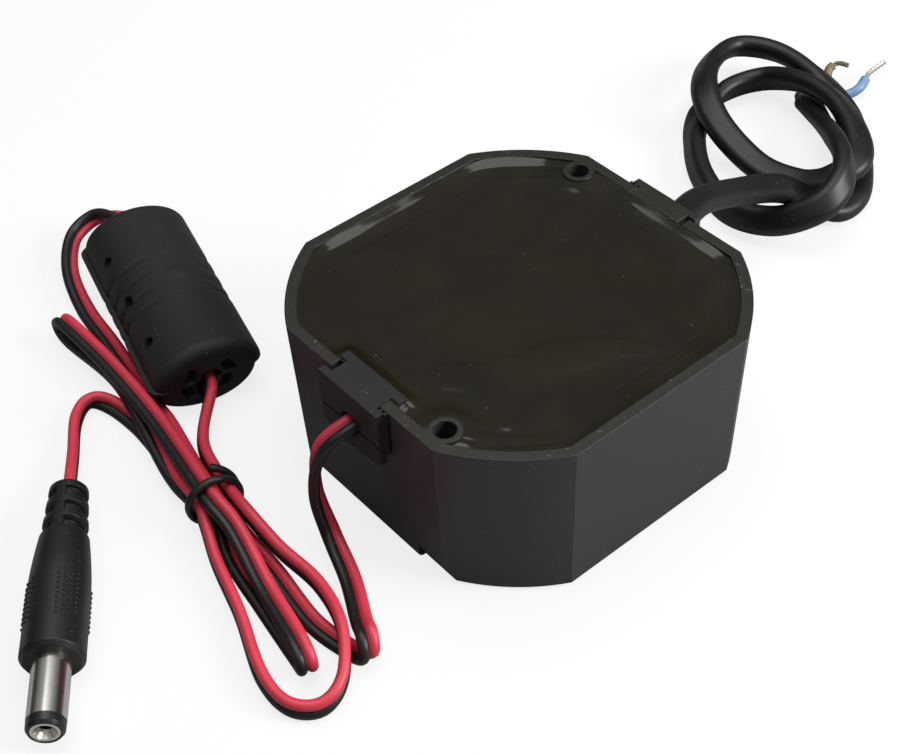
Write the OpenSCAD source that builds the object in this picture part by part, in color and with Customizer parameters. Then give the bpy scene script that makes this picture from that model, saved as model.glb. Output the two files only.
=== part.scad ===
// Potted flush-mount DC power supply with a mains lead, a tied DC lead, a ferrite choke and a barrel plug
// Millimetres, +Z up, origin at the centre of the box's base; mains lead on +X, DC lead on -X

/* [Box] */
// Width across the flat walls, at the open rim
box_w = 60; // [58:0.5:74]
// How much wider the box is over its round corners
corner_over = 8.4; // [7:0.2:12]
// Height of the box
box_h = 28.2; // [27:0.2:40]
// How far each wall leans in from the rim to the base
draft = 0.8; // [0.2:0.1:1.2]
// Thickness of the walls
wall = 1.8; // [1.2:0.1:2.2]
// Thickness of the base
base_t = 2; // [1.2:0.1:3]
// Bevel round the edge of the base
base_bevel = 0.6; // [0.2:0.1:1]

/* [Screw tubes] */
// Diameter of the hole for a fixing screw
screw_hole_d = 3.3; // [2.6:0.1:4]
// Outside diameter of a screw tube
screw_tube_d = 5; // [4.6:0.1:6]
// Distance from a round corner's outside to the screw hole's centre
screw_inset = 4.2; // [3.6:0.1:5]
// Distance from the flat wall's outside to the screw hole's centre
screw_wall = 3.8; // [3.4:0.1:4.6]
// Height of the bevel under each screw tube
relief_h = 3.2; // [1:0.1:5]
// Depth of the bevel under each screw tube
relief_d = 1.2; // [0.5:0.1:1.3]

/* [Potting] */
// Depth of the resin's surface below the rim
fill_gap = 0.6; // [0.2:0.1:1.2]

/* [Lead entries] */
// Depth of the leads' centre line below the rim
entry_drop = 6.2; // [5.6:0.1:7.5]
// Width of the slot in the wall
slot_w = 11; // [10.4:0.1:13]
// Depth of the slot below the leads' centre line
slot_drop = 3.6; // [3:0.1:4.4]
// Width that the slot has over the entry piece's neck
slot_play = 1; // [0.4:0.1:1.4]
// How far an entry piece's flange laps over the slot's edge
lap = 1.1; // [0.8:0.05:2]
// Thickness of the flange outside the wall
flange_t = 1.25; // [0.8:0.05:1.6]
// Thickness of the flange inside the wall
inner_flange_t = 1.6; // [1:0.1:2]
// Clearance round a lead and beside the wall
fit_gap = 0.15; // [0.05:0.05:0.3]

/* [Circuit board] */
// Thickness of the board
board_t = 1.6; // [1:0.1:2]
// Depth of the board's top face below the rim
board_drop = 2.4; // [2.2:0.1:2.8]
// Gap between the board's edge and the walls
board_gap = 0.6; // [0.3:0.1:1]
// Diameter of a component's pin
pin_d = 0.8; // [0.5:0.1:1]

/* [Leads] */
// Width of the flat mains cable
mains_w = 5.4; // [4.8:0.1:6]
// Thickness of the flat mains cable
mains_t = 3.4; // [2.8:0.1:3.4]
// Diameter of one wire of the bonded DC lead
wire_d = 1.7; // [1.3:0.05:1.7]
// Diameter of an insulated mains core
core_d = 1.7; // [1.3:0.1:1.8]
// Diameter of a core's bare conductor
strand_d = 0.9; // [0.6:0.05:1.1]

/* [Ferrite choke] */
// Length of the ferrite's case
choke_l = 39.5; // [37:0.5:44]
// Radius of the case's upper shell
choke_r = 9.1; // [8.6:0.1:10.5]
// How much smaller the lower shell is
choke_step = 0.7; // [0.2:0.1:0.8]
// Rounding of the case's ends
choke_round = 2; // [1:0.1:2.5]
// Radius of the ferrite core
core_r = 5.4; // [4.5:0.1:5.6]
// Length of the ferrite core
core_l = 28; // [20:0.5:29]
// Radius of the hole through the core
core_bore_r = 2.2; // [2:0.1:2.8]

/* [Barrel plug] */
// Outside diameter of the metal sleeve
sleeve_d = 5.5; // [4.6:0.1:5.6]
// Diameter of the hole in the centre contact
contact_bore_d = 2.1; // [1.3:0.1:2.2]
// Length of sleeve that stands out of the moulding
sleeve_l = 9.6; // [7:0.1:12]
// Length of the insulating tip
tip_l = 1.7; // [1.6:0.1:3]
// Widest radius of the moulding
plug_r = 4.6; // [4.2:0.1:5]
// Length of the moulding with its strain relief
plug_l = 31.7; // [28:0.1:36]
// Length of the strain relief
relief_l = 10; // [9:0.5:12]

/* [Tie] */
// Radius of the tie's ring, at the middle of its wire
tie_r = 4.3; // [4.3:0.05:5]
// Diameter of the tie's wire
tie_d = 0.8; // [0.5:0.1:0.8]

/* [Hidden] */
$fn = 96;

// Box
span = 2 * (box_w + corner_over);
lean = atan(draft / box_h);
fill_z = box_h - fill_gap;
entry_z = box_h - entry_drop;
board_z = box_h - board_drop - board_t;
screw_pitch = box_w + corner_over - 2 * screw_inset;
screw_x = box_w / 2 - screw_wall;
screw_y = sqrt(pow(screw_pitch / 2, 2) - pow(screw_x, 2));
relief_start = screw_y - 4.1;

// Entry pieces
neck_w = slot_w - slot_play;
flange_w = slot_w + 2 * lap;
flange_drop = slot_drop + 0.8 * lap;
flange_sag = 1.1;
lip_w = 0.9;
neck_x0 = half_w(entry_z - flange_drop, wall) - fit_gap;
neck_x1 = box_w / 2 + 0.5;
flange_x = neck_x1 + flange_t;
inner_flange_x = neck_x0 - inner_flange_t;
lead_end_x = inner_flange_x - 0.8;

// Where each lying piece rests: x, y and bearing of its axis
choke_at = [-28.1, 56.5];
choke_z = 6;
choke_turn = 75.3;
plug_at = [-62.5, 32];
plug_turn = -124.8;
plug_z = plug_r;
tie_at = [-47.2, 15.5];
tie_z = tie_r + tie_d / 2;
tie_turn = -101.5;

// Routes of the leads: x, y, z, then the bearing and the slope of the section's wide way
dc_route = concat([[-lead_end_x, 0, entry_z, 90, 0], [-flange_x - 0.3, 0, entry_z, 90, 0]], [
    [-36.5, 1.2, 19, 70, -5], [-37.7, 1.9, 11, 38, -12], [-37.9, -1, 4, 0, -15], [-40, -8, 1.8, -15, 0],
    [-43.8, -15.6, 2.8, -10, 0], [-45.4, -19, 4.6, -5, 0], [-46.6, -20.8, 2.7, 0, 0],
    [-47.2, -18.2, 1.1, 5, 0], [-48.4, -10, 0.9, 8, 0], [-47.3, 1, 1.3, -5, 0],
    [-47.4, 8.6, 2.8, -10, 0], [-47.2, 15.5, 4.6, -12, 40], [-45.3, 24.6, 3.2, -12, 0],
    [-42.7, 36, 2.1, -12, 0], [-41.9, 41, 1.4, -10, 0], [-40.7, 48, 0.9, -8, 0],
    [-38.9, 60, 0.9, -2, 0], [-37.6, 70, 1, 3, -5],
    [-34.8, 79.5, 2, -5, -38], [-30, 86.2, 3, -25, -60], [-25, 87, 4.4, -30, -50],
    [-22.6, 83.6, 5.7, -18, -20], [-22.5, 77.9, 6, -15, 0], [-28.1, 56.5, 6, -15, 0],
    [-33.6, 35.4, 6, -20, 58], [-37.9, 31.2, 6.3, -28, 68], [-42.4, 26.6, 6.6, -28, 74],
    [-44.4, 14.8, 5.4, 0, 85], [-45.6, 8.3, 6.1, 0, 88], [-45.3, 1.5, 4.2, 0, 88], [-44.7, -7, 3.5, 0, 88],
    [-47, -15.4, 4, 0, 88], [-51.6, -21.5, 2.8, 0, 85], [-56.2, -22.8, 1.8, 30, 80],
    [-59.6, -19.6, 1.8, 60, 80], [-59.4, -13, 1.8, 0, 80], [-55.6, -2.5, 1.8, 0, 85],
    [-52.8, 7.4, 2.3, 0, 85], [-49.7, 16, 4.1, 0, 83], [-48.7, 24.6, 3.2, -12, 60],
    [-45.9, 36, 3, -12, 0], [-43.4, 49, 3, -9, 0], [-43.3, 64.6, 0.9, -8, 0],
    [-43.3, 67.8, 2.7, -8, 0], [-43.4, 65, 4.7, -8, 0], [-43.5, 51, 4.9, -8, 0],
    [-44.8, 35, 5.2, -12, 8], [-48.2, 15.7, 7.1, -12, 25], [-48.5, 8.2, 5.6, -12, 8],
    [-50.6, -2, 3.2, -13, 0], [-53.3, -13.8, 4.6, -14, 0], [-54.2, -16.8, 2.7, -15, 0],
    [-53.4, -13.8, 0.9, -15, 0], [-51.8, -3, 0.9, -13, 0], [-50.2, 6.9, 0.9, -12, 0],
    [-47.2, 15.5, 2, -12, 0], [-46.7, 26.7, 0.9, -12, 0], [-45.8, 39, 0.9, -4, 0],
    [-46.8, 46.4, 1.5, 20, 45], [-49.2, 49.4, 1.8, -80, 75], [-53, 47, 1.9, 0, 88],
    [-57.6, 40, 2.4, 0, 85], [-62.5, 32, 4.6, 0, 85], [-65.1, 28.3, 4.6, 0, 85]]);
mains_route = concat([[lead_end_x, 0, entry_z, 90, 0], [flange_x + 1.3, 0, entry_z, 90, 0]], [
    [42.5, 2.9, 20, 100, 5], [54.7, 4.5, 14.6, 90, 18], [65.3, 4.5, 9.6, 66, 32], [71.5, 2.6, 4.8, 66, 28],
    [75.9, -0.4, 2.2, 75, 12], [81.2, 0, 1.8, 110, 5], [87, 3.7, 1.8, 130, 5], [94.1, 10.3, 1.9, 138, 10],
    [99.6, 17.4, 2.7, 150, 15], [101.9, 26.7, 4.9, 170, 42], [101.6, 36.6, 6, 200, 52],
    [96.5, 43.4, 6.4, 262, 51], [87.5, 41.8, 7, 302, 50], [78.8, 34.9, 8.3, 335, 25],
    [75, 27.1, 6, 345, 20], [74.6, 17.3, 2.8, 0, 15], [76.2, 9.8, 2.5, 15, 20], [77.8, 5.6, 3.9, 30, 10],
    [80, 3, 5.8, 75, 5], [83.5, 2.4, 6.7, 104, 5], [87.6, 5, 7, 124, 12], [92, 10.6, 7.4, 142, 30],
    [95, 17.5, 7.8, 158, 38], [95.8, 25.4, 7.2, 185, 50], [95.2, 34.1, 4, 225, 70],
    [88.3, 37.7, 2.8, 270, 65], [79.8, 36.1, 2.2, 303, 15], [71.6, 30.2, 2.7, 314, 70],
    [64.8, 21.8, 2.8, 326, 77], [61.2, 11.9, 2.8, 15, 74], [62.7, 3.1, 4.6, 58, 50],
    [67, -2.5, 8.2, 54, 46], [72.3, -2.7, 10.4, 65, 45], [77.1, 0.3, 11.2, 75, 50],
    [80.7, 4.4, 10.9, 88, 60], [85.7, 10.1, 8.2, 105, 60], [91.6, 17, 4.6, 125, 45],
    [97.6, 24.8, 1.9, 150, 10]]);
brown_route = [[96.8, 25.5, 2.1, 0, 0], [97.8, 27.3, 1.9, 0, 0], [99.8, 28.4, 1.1, 0, 0],
    [102.6, 28.2, 0.9, 0, 0], [105.6, 27.4, 1.9, 0, 0], [107.6, 28.3, 3.2, 0, 0],
    [108.6, 28.2, 3.7, 0, 0]];
brown_end_route = [[108.6, 28.2, 3.7, 0, 0], [109.6, 27.6, 4.1, 0, 0], [110.3, 25.8, 4.1, 0, 0]];
blue_route = [[98.6, 24.5, 1.7, 0, 0], [99.5, 26, 1.3, 0, 0], [101, 25.8, 0.9, 0, 0],
    [103, 24, 0.9, 0, 0], [105.8, 21.8, 1.4, 0, 0], [108, 20.9, 2.3, 0, 0], [110.8, 21.8, 2.5, 0, 0]];
conductor_route = [[110.8, 21.8, 2.5, 0, 0], [113.6, 22.9, 2.3, 0, 0], [118.8, 23.5, 2, 0, 0]];

// Half the width across the flats at a height, and the radius of the round corners there
function half_w(z, inset = 0) = box_w / 2 - draft * (box_h - z) / box_h - inset;
function round_r(z, inset = 0) = half_w(z, inset) + corner_over / 2;

// Parts of a swept section
function unit(v) = v / norm(v);
function spot(p) = [p[0], p[1], p[2]];
function wide_way(p) = [cos(p[3]) * cos(p[4]), sin(p[3]) * cos(p[4]), sin(p[4])];
function heading(r, i) = unit(spot(r[min(i + 1, len(r) - 1)]) - spot(r[max(i - 1, 0)]));
function squared(v, t) = unit(v - (v * t) * t);
function oval(w, t) = [for (k = [0:3], a = [20, 70]) let (turn = k % 2 == 0 ? a : 90 - a,
    u = (w - t) / 2 + t / 2 * cos(turn), v = t / 2 * sin(turn))
    [(k == 1 || k == 2 ? -1 : 1) * u, (k > 1 ? -1 : 1) * v]];
function ring(r, i, section) = let (t = heading(r, i), side = squared(wide_way(r[i]), t), up = cross(t, side))
    [for (q = section) spot(r[i]) + side * q[0] + up * q[1]];

// One closed tube along a route
module swept(route, section) {
    sides = len(section);
    last = (len(route) - 1) * sides;
    points = [for (i = [0:len(route) - 1]) each ring(route, i, section)];
    walls = [for (i = [0:len(route) - 2], k = [0:sides - 1]) let (a = i * sides, b = a + sides,
        n = (k + 1) % sides) each [[a + k, b + k, b + n], [a + k, b + n, a + n]]];
    caps = [[for (k = [0:sides - 1]) k], [for (k = [sides - 1:-1:0]) last + k]];
    polyhedron(points, concat(walls, caps));
}

// Solid with the box's drafted outline, set in from its faces
module drafted(inset, z0, z1) {
    intersection() {
        translate([0, 0, z0])
            cylinder(h = z1 - z0, r1 = round_r(z0, inset), r2 = round_r(z1, inset));
        leaning_side(0, inset);
        leaning_side(90, inset);
        leaning_side(180, inset);
        leaning_side(270, inset);
    }
}

module leaning_side(turn, inset) {
    rotate([0, 0, turn]) translate([half_w(0, inset), 0, 0]) rotate([0, lean, 0])
        translate([-span, -span / 2, -span / 2]) cube(span);
}

// Half space under the bevel at the foot of one flat wall
module bevelled_side(turn) {
    rotate([0, 0, turn]) translate([half_w(0) - base_bevel, 0, 0]) rotate([0, 45, 0])
        translate([-span, -span / 2, -span / 2]) cube(span);
}

module block(at, size) {
    translate([at[0] - size[0] / 2, at[1] - size[1] / 2, at[2]]) cube(size);
}

// Flat section with round edges, lying along X and centred on it
module flat_bar(w, t, x0, x1) {
    translate([x0, 0, 0]) rotate([90, 0, 90]) linear_extrude(x1 - x0) {
        square([w - t, t], center = true);
        translate([(w - t) / 2, 0]) circle(d = t);
        translate([-(w - t) / 2, 0]) circle(d = t);
    }
}

// Box

module enclosure_shell() {
    color("#3a3a3c") difference() {
        intersection() {
            drafted(0, 0, box_h);
            cylinder(h = box_h, r1 = round_r(0) - base_bevel, r2 = round_r(0) - base_bevel + box_h);
            bevelled_side(0);
            bevelled_side(90);
            bevelled_side(180);
            bevelled_side(270);
        }
        difference() {
            drafted(wall, base_t, box_h + 1);
            screw_tubes(screw_tube_d, 0, box_h + 2);
        }
        screw_tubes(screw_hole_d, -1, box_h + 1);
        for (turn = [0, 180]) rotate([0, 0, turn]) {
            entry_slot();
            foot_relief();
        }
    }
}

module screw_tubes(d, z0, z1) {
    for (s = [-1, 1]) translate([s * screw_x, s * screw_y, z0]) cylinder(h = z1 - z0, d = d);
}

module entry_slot() {
    translate([neck_x0 - 1, -neck_w / 2 - slot_play + 0.05, entry_z - slot_drop])
        cube([neck_x1 - neck_x0 + 2, slot_w, box_h]);
}

// Bevel at the foot of the wall beside a screw tube
module foot_relief() {
    foot = half_w(0) - relief_d;
    rise = [half_w(relief_h) - foot, relief_h];
    translate([0, span + relief_start, 0]) rotate([90, 0, 0]) linear_extrude(span)
        polygon([[foot, 0] - rise, [foot, 0] + 2 * rise, [foot + 2 * rise[0] + 2, -relief_h],
            [foot + 2, -relief_h]]);
}

// Lead entries, drawn on the +X side

module entry_outline(w, drop, sag, z1) {
    arc_r = (w * w / 4 + sag * sag) / (2 * sag);
    intersection() {
        translate([-w / 2, -drop]) square([w, drop + z1]);
        translate([0, arc_r - drop]) circle(arc_r, $fn = 360);
    }
}

module entry_plate(x0, x1, w, drop, sag) {
    translate([x0, 0, entry_z]) rotate([90, 0, 90]) linear_extrude(x1 - x0)
        entry_outline(w, drop, sag, entry_drop);
}

module entry_body(w, t) {
    funnel_d = 4.4;
    crease = 0.5;
    difference() {
        union() {
            entry_plate(neck_x1, flange_x, flange_w, flange_drop, flange_sag);
            entry_plate(inner_flange_x, neck_x0, flange_w, flange_drop, flange_sag);
            block([(neck_x0 + neck_x1) / 2, 0, entry_z - slot_drop + fit_gap],
                [neck_x1 - neck_x0, neck_w, slot_drop - fit_gap + entry_drop]);
            for (k = [0:2]) translate([neck_x1 - 0.4, flange_w / 2 - 1.9 + k * lip_w, entry_z - slot_drop + k])
                cube([0.4 + flange_t * (2 - k) / 3, 0.5, slot_drop + entry_drop - k]);
        }
        translate([0, 0, entry_z]) flat_bar(w + 2 * fit_gap, t + 2 * fit_gap, inner_flange_x - 1, flange_x + 1);
        translate([flange_x - 1.8, 0, entry_z]) rotate([0, 90, 0]) cylinder(h = 1.9, d1 = t, d2 = funnel_d);
        translate([flange_x, 0, entry_z]) rotate([0, 45, 0]) cube([crease, flange_w + 2, crease], center = true);
    }
}

module entry_half(w, t, upper) {
    intersection() {
        entry_body(w, t);
        translate([0, -span / 2, upper ? entry_z : entry_z - span]) cube(span);
    }
}

module dc_entry_upper() { color("#2c2b2a") rotate([0, 0, 180]) entry_half(2 * wire_d, wire_d, true); }
module dc_entry_lower() { color("#2c2b2a") rotate([0, 0, 180]) entry_half(2 * wire_d, wire_d, false); }
module mains_entry_upper() { color("#2c2b2a") entry_half(mains_w, mains_t, true); }
module mains_entry_lower() { color("#2c2b2a") entry_half(mains_w, mains_t, false); }

// Resin round everything that the box holds
module potting_resin() {
    color("#2b2a22") difference() {
        drafted(wall, base_t, fill_z);
        screw_tubes(screw_tube_d, base_t - 1, box_h);
        entry_room(2 * wire_d, wire_d, 180);
        entry_room(mains_w, mains_t, 0);
        circuit_board();
        transformer_core_upper();
        transformer_core_lower();
        transformer_bobbin();
        transformer_winding();
        bulk_capacitor_a();
        bulk_capacitor_b();
        interference_capacitor();
        barrier_capacitor();
        line_choke_core();
        line_choke_winding();
        bridge_rectifier();
        fusible_resistor();
        controller_chip();
        optocoupler();
        output_diode();
        output_capacitor_a();
        output_capacitor_b();
        output_choke_core();
        output_choke_winding();
    }
}

// Space that an entry piece and the end of its lead take in the resin
module entry_room(w, t, turn) {
    rotate([0, 0, turn]) {
        entry_plate(inner_flange_x, neck_x1, flange_w, flange_drop, flange_sag);
        translate([0, 0, entry_z]) flat_bar(w, t, lead_end_x, inner_flange_x + 1);
    }
}

// Circuit board and what it carries, hanging below it

bulk_a_at = [17, 17];
bulk_b_at = [5.6, 18.5];
output_a_at = [-16.5, 16.5];
output_b_at = [-17.8, -6.8];
line_choke_at = [12, -17.6];
bridge_at = [15.4, 6.2];
chip_at = [14.8, -3.9];
optocoupler_at = [-3, -15];
output_choke_at = [-13.6, -18.6];
pitch = 2.54;
trafo_t = 6;
rail_y = trafo_t / 2 + 2.6;
bulk_d = 10;
small_d = 8;
package_w = 6.4;

trafo_pins = [for (s = [-1, 1], k = [-1.5:1.5]) [k * 1.35 * pitch, s * rail_y]];
interference_pins = [[21.8, -16.5], [21.8, -6.5]];
barrier_pins = [[-8, 13.5], [-2, 13.5]];
choke_pins = [for (s = [-1, 1], k = [-1, 1]) line_choke_at + [k * 2.4, s * 5.4]];
bridge_pins = [for (s = [-1, 1], k = [-1, 1]) bridge_at + [s * 2.6, k * 2.4]];
resistor_pins = [[22.4, 9.8], [22.4, 3.8]];
diode_pins = [[-14.5, 7], [-14.5, 0.4]];
chip_pins = row_pins(chip_at, 3);
optocoupler_pins = row_pins(optocoupler_at, 2);

function can_pins(at, d) = [for (s = [-1, 1]) [at[0] + s * d / 4, at[1]]];
function row_pins(at, rows) = [for (s = [-1, 1], k = [0:rows - 1])
    [at[0] + (k - (rows - 1) / 2) * pitch, at[1] + s * (package_w / 2 - 0.6)]];

module circuit_board() {
    room = wall + board_gap;
    notch = flange_w + 1;
    color("#4f7a3a") difference() {
        translate([0, 0, board_z]) linear_extrude(board_t) intersection() {
            square(2 * half_w(board_z, room), center = true);
            circle(round_r(board_z, room));
        }
        screw_tubes(screw_tube_d + 2 * board_gap, board_z - 1, box_h);
        for (s = [-1, 1]) block([s * (inner_flange_x - board_gap + span / 2), 0, board_z - 1],
            [span, notch, board_t + 2]);
        for (p = concat(trafo_pins, interference_pins, barrier_pins, choke_pins, bridge_pins, resistor_pins,
            diode_pins, chip_pins, optocoupler_pins, can_pins(bulk_a_at, bulk_d), can_pins(bulk_b_at, bulk_d),
            can_pins(output_a_at, bulk_d), can_pins(output_b_at, small_d)))
            translate([p[0], p[1], board_z - 1]) cylinder(h = board_t + 2, d = pin_d);
    }
}

// Pins from a part's top face through the board
module pins(places, top = 0) {
    for (p = places) translate([p[0], p[1], board_z - top]) cylinder(h = top + board_t + 1, d = pin_d);
}

trafo_w = 20;
trafo_h = 14;
trafo_leg = 5.9;
trafo_side = 3.2;
trafo_back = 2.8;
trafo_top = board_z - 0.8;
trafo_play = 0.15;
window_h = trafo_h - 2 * trafo_back;
bobbin_w = trafo_w - 2 * trafo_side - 2 * trafo_play;
bobbin_d = 15;
bobbin_flange = 1;

module e_core() {
    leg_h = trafo_h / 2;
    difference() {
        translate([-trafo_w / 2, -trafo_t / 2, 0]) cube([trafo_w, trafo_t, leg_h]);
        for (s = [-1, 1]) block([s * (trafo_w / 2 - trafo_side + trafo_leg / 2) / 2, 0, -1],
            [trafo_w / 2 - trafo_side - trafo_leg / 2, trafo_t + 2, leg_h - trafo_back + 1]);
    }
}

module transformer_core_upper() {
    color("#4a4a4e") translate([0, 0, trafo_top - trafo_h / 2]) e_core();
}

module transformer_core_lower() {
    color("#4a4a4e") translate([0, 0, trafo_top - trafo_h / 2]) mirror([0, 0, 1]) e_core();
}

module transformer_bobbin() {
    z0 = trafo_top - trafo_h + trafo_back + trafo_play;
    z1 = trafo_top - trafo_back - trafo_play;
    hole = trafo_leg + 2 * trafo_play;
    tube_w = hole + 1.2;
    color("#1d1d1f") union() {
        difference() {
            union() {
                block([0, 0, z0], [bobbin_w, bobbin_d, bobbin_flange]);
                block([0, 0, z1 - bobbin_flange], [bobbin_w, bobbin_d, bobbin_flange]);
                block([0, 0, z0], [tube_w, tube_w, z1 - z0]);
                for (s = [-1, 1]) block([0, s * rail_y, z1 - bobbin_flange],
                    [bobbin_w, 3.4, board_z - z1 + bobbin_flange]);
            }
            block([0, 0, z0 - 1], [hole, hole, z1 - z0 + 2]);
        }
        pins(trafo_pins);
    }
}

module transformer_winding() {
    z0 = trafo_top - trafo_h + trafo_back + trafo_play + bobbin_flange;
    z1 = trafo_top - trafo_back - trafo_play - bobbin_flange;
    inner = trafo_leg + 2 * trafo_play + 1.2;
    color("#d8b23a") difference() {
        block([0, 0, z0], [bobbin_w - 0.6, bobbin_d - 1.4, z1 - z0]);
        block([0, 0, z0 - 1], [inner, inner, z1 - z0 + 2]);
    }
}

// Electrolytic capacitor with a crimped foot, its foot on the board
module can_capacitor(at, d, h) {
    translate([at[0], at[1], board_z - h]) rotate_extrude() difference() {
        square([d / 2, h]);
        translate([d / 2 + 0.25, h - 2.4]) circle(0.6, $fn = 32);
        translate([d / 2 - 0.6, -0.01]) polygon([[0, 0], [0.61, 0.61], [0.61, -1], [0, -1]]);
    }
    pins(can_pins(at, d));
}

module bulk_capacitor_a() { color("#27364f") can_capacitor(bulk_a_at, bulk_d, 16); }
module bulk_capacitor_b() { color("#27364f") can_capacitor(bulk_b_at, bulk_d, 16); }
module output_capacitor_a() { color("#2c2c30") can_capacitor(output_a_at, bulk_d, 16); }
module output_capacitor_b() { color("#2c2c30") can_capacitor(output_b_at, small_d, 12); }

module interference_capacitor() {
    color("#d9c74a") union() {
        block([21.8, -11.5, board_z - 11], [4.6, 12, 11]);
        pins(interference_pins);
    }
}

module barrier_capacitor() {
    color("#3d6ea8") union() {
        translate([-5, 15.5, board_z - 4.6]) rotate([90, 0, 0]) cylinder(h = 4, d = 8);
        pins(barrier_pins, 3.8);
    }
}

module line_choke_core() {
    color("#3f5f3a") translate([line_choke_at[0], line_choke_at[1], board_z - 6.6]) difference() {
        cylinder(h = 6, d = 14);
        translate([0, 0, -1]) cylinder(h = 8, d = 7);
    }
}

// Two windings, one on each side of the ring
module line_choke_winding() {
    color("#b5652d") union() {
        translate([line_choke_at[0], line_choke_at[1], board_z - 7.2]) difference() {
            for (turn = [25, 205]) rotate([0, 0, turn]) rotate_extrude(angle = 130)
                translate([2.9, 0]) square([4.7, 7.2]);
            translate([0, 0, 0.6]) difference() {
                cylinder(h = 6, d = 14);
                translate([0, 0, -1]) cylinder(h = 8, d = 7);
            }
        }
        pins(choke_pins, 0.3);
    }
}

module bridge_rectifier() {
    color("#1c1c1e") union() {
        difference() {
            block([bridge_at[0], bridge_at[1], board_z - 3.3], [9, 7, 3.3]);
            translate([bridge_at[0] - 4.5, bridge_at[1], board_z - 3.4]) cylinder(h = 1, d = 2);
        }
        pins(bridge_pins);
    }
}

module fusible_resistor() {
    color("#7aa36b") union() {
        translate([22.4, 10.6, board_z - 2.2]) rotate([90, 0, 0]) rotate_extrude() union() {
            square([1.5, 7.6]);
            square([1.8, 1.6]);
            translate([0, 6]) square([1.8, 1.6]);
        }
        pins(resistor_pins, 0.9);
    }
}

// Dual in-line package with a notch at one end
module dil_package(at, l, h, rows) {
    difference() {
        block([at[0], at[1], board_z - h], [l, package_w, h]);
        translate([at[0] - l / 2, at[1], board_z - h - 0.1]) cylinder(h = 0.7, d = 1.6);
    }
    pins(row_pins(at, rows));
}

module controller_chip() { color("#161617") dil_package(chip_at, 8.8, 3.4, 3); }
module optocoupler() { color("#e8e6df") dil_package(optocoupler_at, 4.6, 3.5, 2); }

module output_diode() {
    color("#19191a") union() {
        translate([-14.5, 8.2, board_z - 2.8]) rotate([90, 0, 0]) cylinder(h = 9, d = 5.2);
        pins(diode_pins, 0.4);
    }
}

module output_choke_core() {
    color("#505055") translate([output_choke_at[0], output_choke_at[1], board_z - 9]) union() {
        cylinder(h = 9, d = 4.4);
        cylinder(h = 1.4, d = 8);
        translate([0, 0, 7.6]) cylinder(h = 1.4, d = 8);
    }
}

module output_choke_winding() {
    color("#b5652d") translate([output_choke_at[0], output_choke_at[1], board_z - 7.6]) difference() {
        cylinder(h = 6.2, d = 7.2);
        translate([0, 0, -1]) cylinder(h = 8.2, d = 4.4);
    }
}

// Ferrite choke, its axis along X with the joint between its shells at z = 0

groove_w = 0.35;
groove_d = 0.5;
groove_flare = 1.5;
groove_shift = 1.1;
groove_step = 2.4;
hub_r = 2.6;
hub_groove_r = 5;
slit_w = 0.4;
hub_groove_d = 1.4;
core_play = 0.1;
choke_gap = 0.05;

module choke_place() {
    translate([choke_at[0], choke_at[1], choke_z]) rotate([0, 0, choke_turn]) children();
}

module rounded_bar(r, l, e) {
    rotate([0, 90, 0]) rotate_extrude() {
        translate([0, -l / 2]) square([r - e, l]);
        translate([0, e - l / 2]) square([r, l - 2 * e]);
        for (s = [-1, 1]) translate([r - e, s * (l / 2 - e)]) circle(e, $fn = 48);
    }
}

// Part of a ring round the X axis, from one angle above +Y to another
module ring_cut(r0, r1, x, w, from, to) {
    translate([x, 0, 0]) rotate([0, 90, 0]) rotate([0, 0, 90 + from])
        rotate_extrude(angle = to - from) translate([r0, -w / 2]) square([r1 - r0, w]);
}

// The same with sides that spread from w0 wide at r0 to w1 wide at r1
module flared_cut(r0, r1, x, w0, w1, from, to) {
    translate([x, 0, 0]) rotate([0, 90, 0]) rotate([0, 0, 90 + from]) rotate_extrude(angle = to - from)
        polygon([[r0, -w0 / 2], [r1, -w1 / 2], [r1 + 1, -w1 / 2], [r1 + 1, w1 / 2], [r1, w1 / 2], [r0, w0 / 2]]);
}

module choke_hollow() {
    end_room = choke_l / 2 - hub_groove_d - 1.4;
    rotate([0, 90, 0]) {
        cylinder(h = core_l + 2 * core_play, r = core_r + core_play, center = true);
        cylinder(h = 2 * end_room, r = core_bore_r + 0.6, center = true);
        cylinder(h = choke_l + 2, r = wire_d + choke_gap, center = true);
    }
}

// Grooves are turned about an axis beside the case's own, so they fade out towards its top
module choke_shell(r, z0, z1, from, to) {
    reach = r + groove_shift - groove_d;
    difference() {
        intersection() {
            rounded_bar(r, choke_l, choke_round);
            translate([-span / 2, -span / 2, z0]) cube([span, span, z1 - z0]);
        }
        choke_hollow();
        for (k = [0:3], s = [-1, 1]) translate([0, -s * groove_shift, 0]) {
            middle = s > 0 ? 0 : 180;
            x = (k - 1.5) * groove_step;
            ring_cut(reach, r + 3, x, groove_w, middle - 85, middle + 85);
            flared_cut(reach + 0.2, reach + 0.6, x, groove_w, groove_flare, middle - 85, middle + 85);
        }
        for (s = [-1, 1], a = [0, 118]) ring_cut(hub_r, hub_groove_r, s * choke_l / 2, 2 * hub_groove_d,
            from + a, from + a + 62);
        for (s = [-1, 1], y = [-1, 1]) translate([s * choke_l / 2, y * (hub_r + r) / 2, 0])
            cube([2.4, r - hub_r + 0.6, slit_w], center = true);
    }
}

module ferrite_case_upper() {
    pit_angle = 38;
    color("#252526") choke_place() difference() {
        choke_shell(choke_r, 0, choke_r + 1, 0, 180);
        for (k = [-1:1]) translate([k * 11 - 3.6, 0, 0]) rotate([pit_angle, 0, 0])
            translate([0, choke_r - 1.1, 0]) rotate([-90, 0, 0]) cylinder(h = 3, d = 2.4);
    }
}

module ferrite_case_lower() {
    color("#232324") choke_place() choke_shell(choke_r - choke_step, -choke_z, 0, 180, 360);
}

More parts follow.
